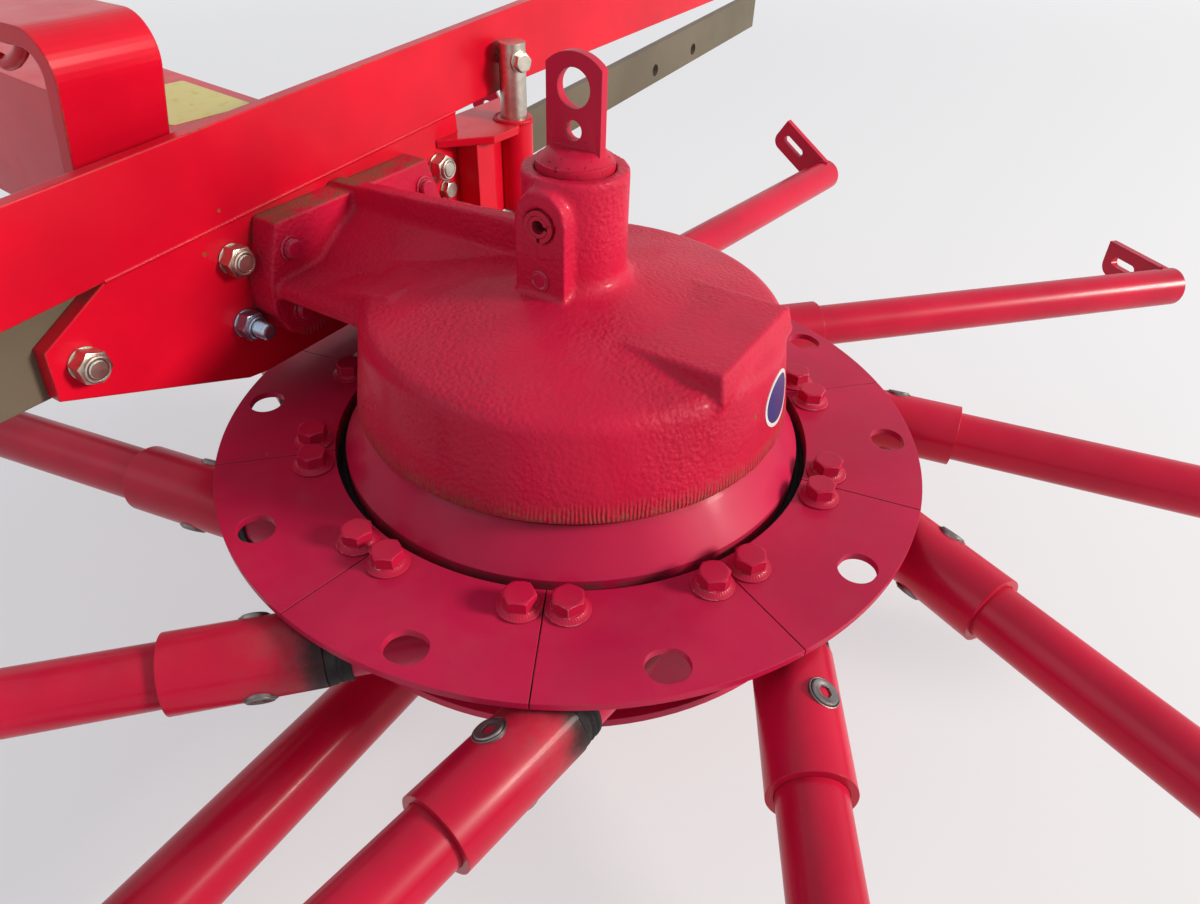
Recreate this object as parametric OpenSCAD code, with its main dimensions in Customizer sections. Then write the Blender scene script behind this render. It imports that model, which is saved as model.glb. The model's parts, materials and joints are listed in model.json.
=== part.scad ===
/* [Ring] */
// Outer radius of the ring that the ten segments make
ring_r = 315; // [300:1:330]
// Width of the groove between the bell and the ring
moat_w = 9; // [6:0.5:12]
// Thickness of a ring segment
ring_t = 6; // [5:0.5:8]
// Gap between two ring segments at their seam
seam_gap = 1; // [0.6:0.1:2]
// Distance of the oblong holes from the ring's edge
hole_edge = 24.3; // [20:0.1:30]
// Width of an oblong hole
hole_w = 29; // [20:1:32]
// Length of an oblong hole, round the ring
hole_len = 33; // [33:1:45]

/* [Arms] */
// Distance of an arm's axis from the rotor's axis
arm_e = 183; // [178:0.5:188]
// Depth of an arm's axis below the top of the ring
arm_drop = 42; // [42:0.5:46]
// Outer diameter of an arm's tube
tube_d = 48.3; // [44:0.1:50]
// Outer diameter of the sleeve on an arm
sleeve_d = 60.3; // [58:0.1:61]
// Where the sleeve begins, along the arm from its nearest point to the rotor's axis
sleeve_from = 232; // [231:1:240]
// Length of the sleeve
sleeve_len = 110; // [90:1:140]
// Where the arm's tube ends
arm_end = 863; // [600:1:900]
// How far the rounded cap stands out of the tube's end
cap_len = 13; // [8:1:20]
// Diameter of the shaft that turns in the hub
shaft_d = 38; // [34:0.5:40]
// How far the tine bracket reaches from the arm's axis
bracket_h = 105; // [85:1:110]
// Width of the tine bracket
bracket_w = 46; // [40:1:48]
// Plate thickness of the tine bracket
bracket_t = 10; // [6:0.5:12]
// Width of the slot in the tine bracket
slot_w = 13; // [10:0.5:17]
// Length of the slot in the tine bracket
slot_len = 42; // [25:1:48]
// Roll of an arm while it rakes
roll_work_angle = -92; // [-110:1:-70]
// How far the cam lifts an arm out of work
roll_lift_angle = 68; // [30:1:75]

/* [Hub] */
// Radius of the hub's drum under the ring
hub_r = 252; // [248:0.5:256]
// Radius of the rim at the foot of the drum
rim_r = 260; // [257:0.5:264]
// Depth of the hub's underside below the top of the ring
hub_foot = 105; // [95:1:115]
// Outer diameter of an arm's bearing nozzle
nozzle_d = 52; // [48:0.5:54]
// Outer radius of the bell at its foot
bell_r = 206; // [200:0.5:207]
// Outer radius of the bell at its top
bell_top_r = 184; // [175:0.5:188]
// Height of the bell above the top of the ring
bell_h = 33; // [25:0.5:34]

/* [Gear housing] */
// Radius of the housing at its lower rim
house_r = 190; // [186:0.5:194]
// Height of the housing's lower rim above the ring
house_z = 40; // [40:0.5:46]
// Radius of the housing at its shoulder
shoulder_r = 180; // [176:0.5:184]
// Height of the shoulder above the ring
shoulder_z = 127; // [122:0.5:132]
// Height of the dome at the boss
dome_z = 150; // [146:0.5:156]
// Radius of the mast boss
boss_r = 42.4; // [40:0.1:48]
// Height of the mast boss above the ring
boss_h = 240; // [238:1:260]
// Distance of the lug's face from the rotor's axis
lug_face = 50; // [49:0.5:56]
// Width of the lug on the boss
lug_w = 45; // [40:0.5:50]
// Thickness of the rib on the housing's arm
rib_t = 17; // [10:0.5:24]
// Half width of the arm's shelf
shelf_w = 113; // [105:1:116]
// Height of the shelf above the ring
shelf_z = 110; // [104:0.5:114]
// Thickness of the shelf at its edges
shelf_t = 14; // [10:0.5:18]
// Thickness of the arm's flange
flange_t = 30; // [22:1:36]

/* [Mast] */
// Diameter of the central column
column_d = 62; // [58:0.5:64]
// Diameter of the turned spigot at the column's foot
spigot_d = 60; // [50:0.5:60]
// Length of the column below the top of the ring
column_drop = 300; // [290:1:340]
// Width of the eye plate
eye_w = 48; // [42:1:54]
// Thickness of the eye plate
eye_t = 8; // [8:0.5:14]
// Height of the eye plate above the boss
eye_rise = 82; // [78:1:100]
// Diameter of the large eye
eye_d = 28.5; // [20:0.5:30]
// Distance of the large eye from the plate's top
eye_edge = 25; // [22:0.5:30]
// Diameter of the small hole under the eye
eye_small_d = 15; // [10:0.5:16]
// Depth of the cross pin below the boss's top
pin_down = 32; // [28:0.5:36]
// Outer diameter of the cross pin's bush
bush_d = 25; // [22:0.5:27]
// Outer diameter of the slit pin in the bush
pin_d = 17; // [14:0.5:17]

/* [Frame] */
// Depth of the beam
beam_h = 80; // [70:1:90]
// Thickness of the beam
beam_t = 12; // [10:0.5:15]
// Distance of the beam's near face from the rotor's axis
beam_y = 280; // [280:1:290]
// Height of the beam's underside above the ring, at the rotor
beam_z = 172.5; // [171:0.5:178]
// Upward slope of the beam over the headstock
beam_tilt = 3.6; // [3:0.1:4]
// Upward slope of the beam past its bend
beam_tilt_past = 1.2; // [0:0.1:3]
// Length of the beam to the left of the rotor
beam_left = 430; // [400:5:600]
// Length of the beam to the right of the rotor
beam_right = 900; // [600:5:1000]
// Thickness of the headstock plate
plate_t = 15; // [10:0.5:15]
// Depth of the flat bar behind the beam
left_bar_h = 80; // [76:1:90]
// Depth of the flat bar behind the headstock
bar_h = 55; // [46:1:60]
// Thickness of both flat bars
bar_t = 10; // [8:0.5:12]
// Slope of the flat bar behind the headstock
bar_tilt = 3.3; // [2:0.1:4]
// Diameter of the holes in the flat bar
bar_hole_d = 17; // [11:0.5:21]
// Outer diameter of the pin's tube
post_d = 42.4; // [38:0.1:48.3]
// Diameter of the lock pin
lock_d = 30; // [25:0.5:32]
// Width of the strap
strap_w = 85; // [60:1:90]
// Thickness of the strap
strap_t = 14; // [8:0.5:14]
// Width of the frame tube behind the beam
box_w = 115; // [90:1:120]
// Height of the frame tube's top above the ring
box_top = 230; // [215:1:240]
// Outer diameter of the carriage tube under the rotor
carriage_d = 63.5; // [57:0.1:70]
// Depth of the carriage tube's axis below the top of the ring
carriage_drop = 197; // [195:1:205]
// Length of the carriage tube to the left of the rotor
carriage_left = 640; // [560:5:700]

/* [Hidden] */
arm_count = 10;
pitch = 360 / arm_count;
first_arm_angle = 100.2;
arms = [for (k = [0:arm_count - 1]) k];
$fn = 96;
// Running clearance, and a length beyond every piece
run = 0.3;
far = 2000;
column_r = column_d / 2;
ring_in = bell_r + moat_w;
hole_at = ring_r - hole_edge;
pin_z = boss_h - pin_down;
eye_top = boss_h + eye_rise;
eye_z = eye_top - eye_edge;
arm_dir = [for (k = arms) first_arm_angle + pitch * k];
// The seams lie where an arm's axis leaves the ring
seam_dir = [for (k = arms) arm_dir[k] + asin(arm_e / ring_r)];
red = "firebrick";
bright_red = "red";
// Where the shaft begins inside the hub, and where its nozzle and the bracket lie along the arm
shaft_from = 130;
shoulder_gap = 8;
nozzle_to = sleeve_from - shoulder_gap;
bracket_at = arm_end - bracket_t - 2;
// The cam lifts the arms that pass over the swath, fully near the middle and not at all past lift_none_angle
lift_mid_angle = 46.2;
lift_full_angle = 18;
lift_none_angle = 90;
// Depth of the groove between the bell and the ring
moat = 14;
// The housing's roundings, and how far its arm lies off the rotor's axis
shoulder_round = 16;
rim_round = 4;
foot_round = 14;
arm_shift = 10.5;
// Heights of the rib over the housing and at the headstock, and the crease where it leaves the shoulder
rib_z = [180, 167];
crease_z = 149;
crease_w = 60;
// The ramp between the dome and the shelf, as steps of [y, z] along the arm
ramp_w = 105;
ramp_line = [[120, dome_z - 17], [150, dome_z - 23], [215, shelf_z], [235, shelf_z]];
// The flange's outline to one side of its middle, from the top down
flange_top = 163;
flange_side = [[100, flange_top], [118, 110], [118, 80], [106, 58], [86, 45], [50, 50]];
flange_front = beam_y - flange_t;
// The pad over the pinion: its sides, how they flare, its foot and top, and its nose as [y, z]
pad_x = [-63, 65];
pad_flare = 7;
pad_z = [100, 141];
pad_nose = [[-60, pad_z[0]], [-60, pad_z[1]], [-166, pad_z[1]], [-171, 120], [-165, pad_z[0]]];
// The carriage tube passes the column with a gap, and both are held in the saddle
carriage_gap = 4;
carriage_y = column_r + carriage_d / 2 + carriage_gap;
saddle_margin = 8;
// The spigot stands out under the saddle
spigot_len = column_drop - carriage_drop - carriage_d / 2 - saddle_margin;
// The bush and pin across the boss
bush_bore = 17.8;
bush_proud = 2;
bush_len = lug_face + bush_proud + boss_r;
slit = 3;
// The beam bends here, to a slighter slope
bend_x = 330;
plate_back = beam_y + plate_t;
// Where the headstock plate ends on the right, which is where the pin's tube begins
plate_right = 252;
post_x = plate_right + post_d / 2 - 1;
post_y = beam_y - post_d / 2;
post_z = [60, 165];
// The top plate that holds the post lies over the headstock plate from notch_x on
bracket_sheet = 8;
bracket_top = 163;
notch_x = 196.2;
// The frame tube's near end stands against the left bar; its left side and how far it skews
tube_near = plate_back + run + bar_t + run;
tube_left = -122;
tube_skew_angle = 6;

// Points on an arc about [x, z], from one angle to another
function arc(x, z, r, from, to, steps = 6) =
    [for (i = [0:steps]) let (a = from + (to - from) * i / steps) [x + r * cos(a), z + r * sin(a)]];

module on_ring() {
    translate([0, 0, column_drop]) children();
}

// Moves along an arm's axis become moves along Z
module along_arm(k) {
    on_ring() rotate([0, 0, arm_dir[k]]) translate([0, arm_e, -arm_drop])
        rotate([0, 90, 0]) children();
}

// Extrudes an outline drawn in X and Z from depth y over the thickness t
module standing(y, t) {
    on_ring() translate([0, y + t, 0]) rotate([90, 0, 0]) linear_extrude(t) children();
}

// Extrudes an outline drawn in Y and Z across X, from x over the width w
module crosswise(x, w) {
    on_ring() translate([x, 0, 0]) rotate([90, 0, 90]) linear_extrude(w) children();
}

module oblong_hole() {
    straight = hole_len - hole_w;
    translate([hole_at, 0, -2 * ring_t]) {
        for (y = [-1, 1]) translate([0, y * straight / 2, 0]) cylinder(d = hole_w, h = 3 * ring_t);
        translate([-hole_w / 2, -straight / 2, 0]) cube([hole_w, straight, 3 * ring_t]);
    }
}

module ring_segment(k) {
    color(red) on_ring() difference() {
        translate([0, 0, -ring_t]) linear_extrude(ring_t) difference() {
            circle(r = ring_r);
            circle(r = ring_in);
            rotate(seam_dir[k]) translate([-far, -far]) square([2 * far, far + seam_gap / 2]);
            rotate(seam_dir[k] + pitch) translate([-far, -seam_gap / 2]) square([2 * far, far]);
        }
        rotate([0, 0, seam_dir[k] + pitch / 2]) oblong_hole();
    }
}

function turn_from(a, b) = abs((a - b + 540) % 360 - 180);
function eased(t) = t * t * (3 - 2 * t);
function lift(k) = eased(min(1, max(0,
    (lift_none_angle - turn_from(arm_dir[k], lift_mid_angle)) / (lift_none_angle - lift_full_angle))));
function roll(k) = roll_work_angle + roll_lift_angle * lift(k);

module tine_bracket() {
    corner = 16;
    slot_end = bracket_h - 14 - slot_w / 2;
    difference() {
        linear_extrude(bracket_t) difference() {
            polygon(concat(
                [[0, -bracket_w / 2]],
                arc(bracket_h - corner, corner - bracket_w / 2, corner, -90, 0),
                [[bracket_h, bracket_w / 2], [0, bracket_w / 2]]
            ));
            translate([slot_end - slot_len + slot_w, -slot_w / 2]) square([slot_len - slot_w, slot_w]);
        }
        for (x = [slot_end - slot_len + slot_w, slot_end])
            translate([x, 0, -bracket_t]) cylinder(d = slot_w, h = 3 * bracket_t);
    }
}

module arm(k) {
    floor_t = 6;
    cap_r = tube_d * 0.7;
    color(red) along_arm(k) {
        translate([0, 0, shaft_from]) cylinder(d = shaft_d, h = arm_end - shaft_from);
        translate([0, 0, sleeve_from + floor_t]) cylinder(d = tube_d, h = arm_end - sleeve_from - floor_t);
        translate([0, 0, arm_end]) intersection() {
            cylinder(d = tube_d, h = cap_len);
            translate([0, 0, cap_len - cap_r]) sphere(r = cap_r);
        }
        translate([0, 0, bracket_at]) rotate([0, 0, 180 + roll(k)]) tine_bracket();
    }
}

module arm_sleeve(k) {
    floor_t = 5;
    color(red) along_arm(k) translate([0, 0, sleeve_from]) difference() {
        cylinder(d = sleeve_d, h = sleeve_len);
        translate([0, 0, floor_t]) cylinder(d = tube_d + 2 * run, h = sleeve_len);
        translate([0, 0, -1]) cylinder(d = shaft_d + 2 * run, h = sleeve_len);
    }
}

module rotor_hub() {
    rim_t = 8;
    end_play = 4;
    color(red) difference() {
        union() {
            on_ring() translate([0, 0, -hub_foot]) cylinder(r = hub_r, h = hub_foot - ring_t);
            on_ring() translate([0, 0, -hub_foot]) cylinder(r = rim_r, h = rim_t);
            for (k = arms)
                along_arm(k) translate([0, 0, shaft_from]) cylinder(d = nozzle_d, h = nozzle_to - shaft_from);
        }
        on_ring() translate([0, 0, -ring_t - moat]) difference() {
            cylinder(r = ring_in, h = far);
            translate([0, 0, -1]) cylinder(r = bell_r, h = far);
        }
        translate([0, 0, -1]) cylinder(r = column_r + run, h = far);
        for (k = arms)
            along_arm(k) translate([0, 0, shaft_from - end_play]) cylinder(d = shaft_d + 2 * run, h = far);
    }
}

module rotor_bell() {
    edge = 4;
    color(red) on_ring() rotate_extrude() polygon([
        [column_r + run, -ring_t], [bell_r, -ring_t], [bell_r, 0],
        [bell_top_r, bell_h - edge], [bell_top_r - edge, bell_h], [column_r + run, bell_h]
    ]);
}

module boss_lug() {
    lug_z = boss_h - 5 - lug_w / 2;
    translate([-lug_face, -lug_w / 2, dome_z - 20]) cube([lug_face, lug_w, lug_z - dome_z + 20]);
    translate([-lug_face, 0, lug_z]) rotate([0, 90, 0]) cylinder(d = lug_w, h = lug_face);
}

module pinion_pad() {
    intersection() {
        rotate([90, 0, 0]) linear_extrude(house_r) polygon([
            [pad_x[0] - pad_flare, pad_z[0]], [pad_x[0], pad_z[1]],
            [pad_x[1], pad_z[1]], [pad_x[1] + pad_flare, pad_z[0]]
        ]);
        translate([-house_r, 0, 0]) rotate([90, 0, 90]) linear_extrude(2 * house_r) polygon(pad_nose);
    }
}

// Shelf, shoulders and deep core of the arm, as a section across it
module arm_section() {
    core_w = 42;
    core_z = 56;
    edge = 4;
    half = [
        [core_w, core_z], [core_w, shelf_z - shelf_t], [shelf_w, shelf_z - shelf_t],
        [shelf_w, shelf_z - edge], [shelf_w - edge, shelf_z], [crease_w, shelf_z + edge], [rib_t / 2, crease_z]
    ];
    polygon(concat(half, [for (i = [len(half) - 1:-1:0]) [-half[i][0], half[i][1]]]));
}

module housing_arm() {
    root = 62;
    ramp_low = 10;
    translate([arm_shift, 0, 0]) {
        translate([0, flange_front, 0]) rotate([90, 0, 0]) linear_extrude(flange_front - root) arm_section();
        translate([-ramp_w, 0, 0]) rotate([90, 0, 90]) linear_extrude(2 * ramp_w) polygon(concat(
            ramp_line,
            [[ramp_line[3][0], shelf_z - ramp_low], [ramp_line[0][0], shelf_z - ramp_low]]
        ));
        translate([-rib_t / 2, 0, 0]) rotate([90, 0, 90]) linear_extrude(rib_t) polygon([
            [0, shelf_z], [0, rib_z[0] + 4], [root, rib_z[0]], [beam_y, rib_z[1]], [beam_y, shelf_z]
        ]);
        translate([0, beam_y, 0]) rotate([90, 0, 0]) linear_extrude(flange_t) polygon(concat(
            [for (p = flange_side) [-p[0], p[1]]],
            [for (i = [len(flange_side) - 1:-1:0]) flange_side[i]]
        ));
    }
}

module gear_housing() {
    color(red) on_ring() difference() {
        union() {
            rotate_extrude() polygon(concat(
                [[0, house_z]],
                arc(house_r - rim_round, house_z + rim_round, rim_round, -90, 0),
                arc(shoulder_r - shoulder_round, shoulder_z - shoulder_round, shoulder_round, 0, 78),
                arc(boss_r + foot_round, dome_z + foot_round, foot_round, 262, 180),
                [[boss_r, boss_h], [0, boss_h]]
            ));
            boss_lug();
            pinion_pad();
            housing_arm();
        }
        translate([0, 0, -1]) cylinder(r = column_r + run, h = far);
        translate([-far, 0, pin_z]) rotate([0, 90, 0]) cylinder(d = bush_d + 2 * run, h = 2 * far);
    }
}

module centre_column() {
    collar = 6;
    weld = 9;
    top_round = 34;
    column_top = column_drop + boss_h + collar;
    color(red) difference() {
        union() {
            cylinder(d = spigot_d, h = 2 * spigot_len);
            translate([0, 0, spigot_len]) cylinder(r = column_r, h = column_top - spigot_len);
            translate([0, 0, column_top]) cylinder(r1 = column_r - 1.5, r2 = eye_w / 2 - 4, h = weld);
            intersection() {
                on_ring() translate([-eye_t / 2, -eye_w / 2, boss_h]) cube([eye_t, eye_w, eye_rise]);
                on_ring() translate([-eye_t, 0, eye_top - top_round]) rotate([0, 90, 0])
                    cylinder(r = top_round, h = 2 * eye_t);
            }
            on_ring() translate([-eye_t / 2, -eye_w / 2, boss_h]) cube([eye_t, eye_w, eye_rise - top_round]);
        }
        on_ring() for (h = [[eye_z, eye_d], [eye_z - 30, eye_small_d]])
            translate([-eye_w, 0, h[0]]) rotate([0, 90, 0]) cylinder(d = h[1], h = 2 * eye_w);
        on_ring() translate([-far, 0, pin_z]) rotate([0, 90, 0]) cylinder(d = bush_d + 2 * run, h = 2 * far);
    }
}

// A slit tube that is driven through the boss and the column
module driven_pin(outer, bore, slit_turn) {
    color(red) on_ring() translate([-lug_face - bush_proud, 0, pin_z]) rotate([0, 90, 0]) difference() {
        cylinder(d = outer, h = bush_len);
        translate([0, 0, -1]) cylinder(d = bore, h = far);
        rotate(slit_turn) translate([-slit / 2, 0, -1]) cube([slit, outer, far]);
    }
}

module spring_pin() {
    driven_pin(bush_d, bush_bore, -90);
}

module inner_pin() {
    driven_pin(pin_d, pin_d - 6, 180);
}

module carriage_tube() {
    wall = 5;
    past = 90;
    color(red) on_ring() translate([-carriage_left, carriage_y, -carriage_drop])
        rotate([0, 90, 0]) difference() {
            cylinder(d = carriage_d, h = carriage_left + past);
            translate([0, 0, -1]) cylinder(d = carriage_d - 2 * wall, h = far);
        }
}

module column_saddle() {
    cheek_t = 12;
    cheek_x = 60;
    near = -column_r - saddle_margin;
    low = -carriage_drop - carriage_d / 2 - saddle_margin;
    high = -carriage_drop + carriage_d / 2 + saddle_margin;
    color(red) on_ring() difference() {
        union() {
            for (x = [-cheek_x, cheek_x]) translate([x - cheek_t / 2, near, low])
                cube([cheek_t, carriage_y + carriage_d / 2 + saddle_margin - near, high - low]);
            translate([-cheek_x, near, low])
                cube([2 * cheek_x, 2 * column_r + 2 * saddle_margin, high - low]);
        }
        translate([0, 0, -far]) cylinder(r = column_r + run, h = 2 * far);
        translate([-far, carriage_y, -carriage_drop]) rotate([0, 90, 0])
            cylinder(d = carriage_d + 2 * run, h = 2 * far);
    }
}

// Height of the beam's underside above the ring at a place along it
function beam_low(x) =
    beam_z + min(x, bend_x) * tan(beam_tilt) + max(0, x - bend_x) * tan(beam_tilt_past);

module main_beam() {
    xs = [-beam_left, bend_x, beam_right];
    color(bright_red) standing(beam_y, beam_t) polygon(concat(
        [for (x = xs) [x, beam_low(x)]],
        [for (i = [2:-1:0]) [xs[i], beam_low(xs[i]) + beam_h]]
    ));
}

module headstock_plate() {
    weld_x = [-232, 194];
    color(bright_red) standing(beam_y, plate_t) polygon([
        [weld_x[0], beam_low(weld_x[0])], [-293, 124], [-296, 83], [-131, 17], [-110, 14],
        [130, 14], [plate_right, post_z[0]], [plate_right, bracket_top - bracket_sheet - run],
        [notch_x, bracket_top - bracket_sheet - run], [weld_x[1], beam_low(weld_x[1])]
    ]);
}

module left_bar() {
    low = 80;
    end = -60;
    color("dimgray") standing(plate_back + run, bar_t) translate([-beam_left, low])
        square([beam_left + end, left_bar_h]);
}

module holed_bar() {
    start = 10;
    end = 1050;
    low = 70;
    hole_x = [684, 810];
    color("dimgray") difference() {
        standing(plate_back + run, bar_t) polygon([
            for (p = [[start, 0], [end, 0], [end, bar_h], [start, bar_h]])
                [p[0], low + p[0] * tan(bar_tilt) + p[1]]
        ]);
        on_ring() for (x = hole_x) translate([x, 0, low + x * tan(bar_tilt) + bar_h / 3])
            rotate([-90, 0, 0]) cylinder(d = bar_hole_d, h = far);
    }
}

module pin_post() {
    color(bright_red) on_ring() translate([post_x, post_y, post_z[0]]) difference() {
        cylinder(d = post_d, h = post_z[1] - post_z[0]);
        translate([0, 0, -1]) cylinder(d = lock_d + 2 * run, h = far);
    }
}

module lock_pin() {
    below = 14;
    above = 80;
    color("silver") on_ring() translate([post_x, post_y, post_z[0] - below])
        cylinder(d = lock_d, h = post_z[1] - post_z[0] + below + above);
}

module pin_bracket() {
    box_x = [192, 222];
    box_y = 251;
    web_y = [262, 270];
    rear_y = 321;
    wing_x = 330;
    before = beam_y - run;
    color(bright_red) difference() {
        on_ring() {
            translate([0, 0, bracket_top - bracket_sheet]) linear_extrude(bracket_sheet) polygon([
                [158, before], [207, 238], [248, 236], [300, 262], [wing_x, before + 5],
                [wing_x, rear_y], [notch_x + run, rear_y], [notch_x + run, before]
            ]);
            translate([box_x[0], box_y, post_z[0]])
                cube([box_x[1] - box_x[0], before - box_y, bracket_top - post_z[0]]);
            translate([box_x[0], web_y[0], post_z[0]])
                cube([post_x - box_x[0], web_y[1] - web_y[0], bracket_top - post_z[0]]);
        }
        on_ring() translate([post_x, post_y, 0]) cylinder(d = post_d + 2 * run, h = far);
    }
}

// The strap leans back from its foot; lean is how far over how high
module strap() {
    foot = [331, 182];
    lean = [-29, 108];
    bend_r = 30;
    reach = 480;
    tube_at = foot[0] + lean[0] * (box_top - foot[1]) / lean[1];
    right = tube_left + (tube_at - tube_near) * tan(tube_skew_angle) - run;
    turn = atan2(-lean[0], lean[1]);
    inward = [cos(turn), sin(turn)];
    centre = foot + lean + inward * bend_r;
    color(bright_red) crosswise(right - strap_w, strap_w) polygon(concat(
        [foot + inward * strap_t, foot],
        arc(centre[0], centre[1], bend_r, 180 + turn, 90, 12),
        [[reach, centre[1] + bend_r], [reach, centre[1] + bend_r - strap_t]],
        arc(centre[0], centre[1], bend_r - strap_t, 90, 180 + turn, 12)
    ));
}

module frame_tube() {
    length = 700;
    height = 150;
    wall = 8;
    shift = length * tan(tube_skew_angle);
    color(red) on_ring() translate([0, 0, box_top - height]) difference() {
        linear_extrude(height) polygon([
            [tube_left, tube_near], [tube_left + box_w, tube_near],
            [tube_left + box_w + shift, tube_near + length], [tube_left + shift, tube_near + length]
        ]);
        translate([0, 0, wall]) linear_extrude(height - 2 * wall) polygon([
            [tube_left + wall, tube_near - 1], [tube_left + box_w - wall, tube_near - 1],
            [tube_left + box_w - wall + 2 * shift, tube_near + 2 * length],
            [tube_left + wall + 2 * shift, tube_near + 2 * length]
        ]);
    }
}

gear_housing();
centre_column();
spring_pin();
inner_pin();
carriage_tube();
column_saddle();
main_beam();
headstock_plate();
left_bar();
holed_bar();
pin_bracket();
pin_post();
lock_pin();
strap();
frame_tube();
rotor_hub();
rotor_bell();
for (k = arms) {
    ring_segment(k);
    arm(k);
    arm_sleeve(k);
}
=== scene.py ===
import json
import math

import bmesh
import bpy
from mathutils import Matrix, Vector


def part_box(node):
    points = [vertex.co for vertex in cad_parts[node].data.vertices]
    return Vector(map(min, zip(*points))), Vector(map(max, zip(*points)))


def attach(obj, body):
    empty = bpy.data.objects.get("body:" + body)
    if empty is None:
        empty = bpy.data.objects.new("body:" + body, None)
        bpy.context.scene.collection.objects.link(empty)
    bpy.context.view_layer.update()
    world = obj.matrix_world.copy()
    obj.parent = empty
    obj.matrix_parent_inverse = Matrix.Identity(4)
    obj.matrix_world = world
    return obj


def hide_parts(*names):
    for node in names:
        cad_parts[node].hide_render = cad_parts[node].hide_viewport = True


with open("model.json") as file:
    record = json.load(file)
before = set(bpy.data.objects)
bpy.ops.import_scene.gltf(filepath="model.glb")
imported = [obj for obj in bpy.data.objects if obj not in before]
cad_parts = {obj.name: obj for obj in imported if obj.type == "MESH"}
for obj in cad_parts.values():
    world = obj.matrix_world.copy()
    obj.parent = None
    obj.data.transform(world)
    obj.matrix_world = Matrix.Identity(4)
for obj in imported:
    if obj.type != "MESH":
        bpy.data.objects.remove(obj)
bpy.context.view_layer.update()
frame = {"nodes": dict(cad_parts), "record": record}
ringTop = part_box("ring_segment_1")[1][2] * 1000
up = Vector((0, 0, 1))
print("frame loaded, ring top at", round(ringTop, 1), "mm")


def spot(x, y, z):
    # millimetres, with z counted from the top of the ring
    return Vector((x, y, ringTop + z))


armLayout = {"count": 10, "firstTurn": 100.2, "offset": 183, "drop": 42, "ringRadius": 315}


def armTurn(index):
    return math.radians(armLayout["firstTurn"] + 360 / armLayout["count"] * index)


def armAxes(index):
    # where the arm's axis is nearest the rotor, its direction, and the outward side
    turn = armTurn(index)
    along = Vector((math.cos(turn), math.sin(turn), 0))
    out = Vector((-math.sin(turn), math.cos(turn), 0))
    return out * armLayout["offset"] + spot(0, 0, -armLayout["drop"]), along, out


class Wire:
    def __init__(self, finish, socket):
        self.finish = finish
        self.socket = socket

    def out(self, name):
        return Wire(self.finish, self.socket.node.outputs[name])

    def maths(self, operation, *values):
        return self.finish.node("ShaderNodeMath", {"operation": operation}, dict(enumerate(values)))

    def __add__(self, other):
        return self.maths("ADD", self, other)

    def __radd__(self, other):
        return self.maths("ADD", other, self)

    def __sub__(self, other):
        return self.maths("SUBTRACT", self, other)

    def __rsub__(self, other):
        return self.maths("SUBTRACT", other, self)

    def __mul__(self, other):
        return self.maths("MULTIPLY", self, other)

    def __rmul__(self, other):
        return self.maths("MULTIPLY", other, self)

    def __gt__(self, other):
        return self.maths("GREATER_THAN", self, other)

    def root(self):
        return self.maths("SQRT", self)

    def size(self):
        return self.maths("ABSOLUTE", self)

    def least(self, other):
        return self.maths("MINIMUM", self, other)

    def most(self, other):
        return self.maths("MAXIMUM", self, other)

    def between(self, low, high):
        # 0 below low, 1 above high, eased between them
        return self.finish.node(
            "ShaderNodeMapRange", {"interpolation_type": "SMOOTHSTEP"},
            {"Value": self, "From Min": low, "From Max": high},
        )


# rays that a rounded edge or a hollow asks for at each hit, which the render's time depends on
nodeSamples = 6
metalEdgeSamples = 4


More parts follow.
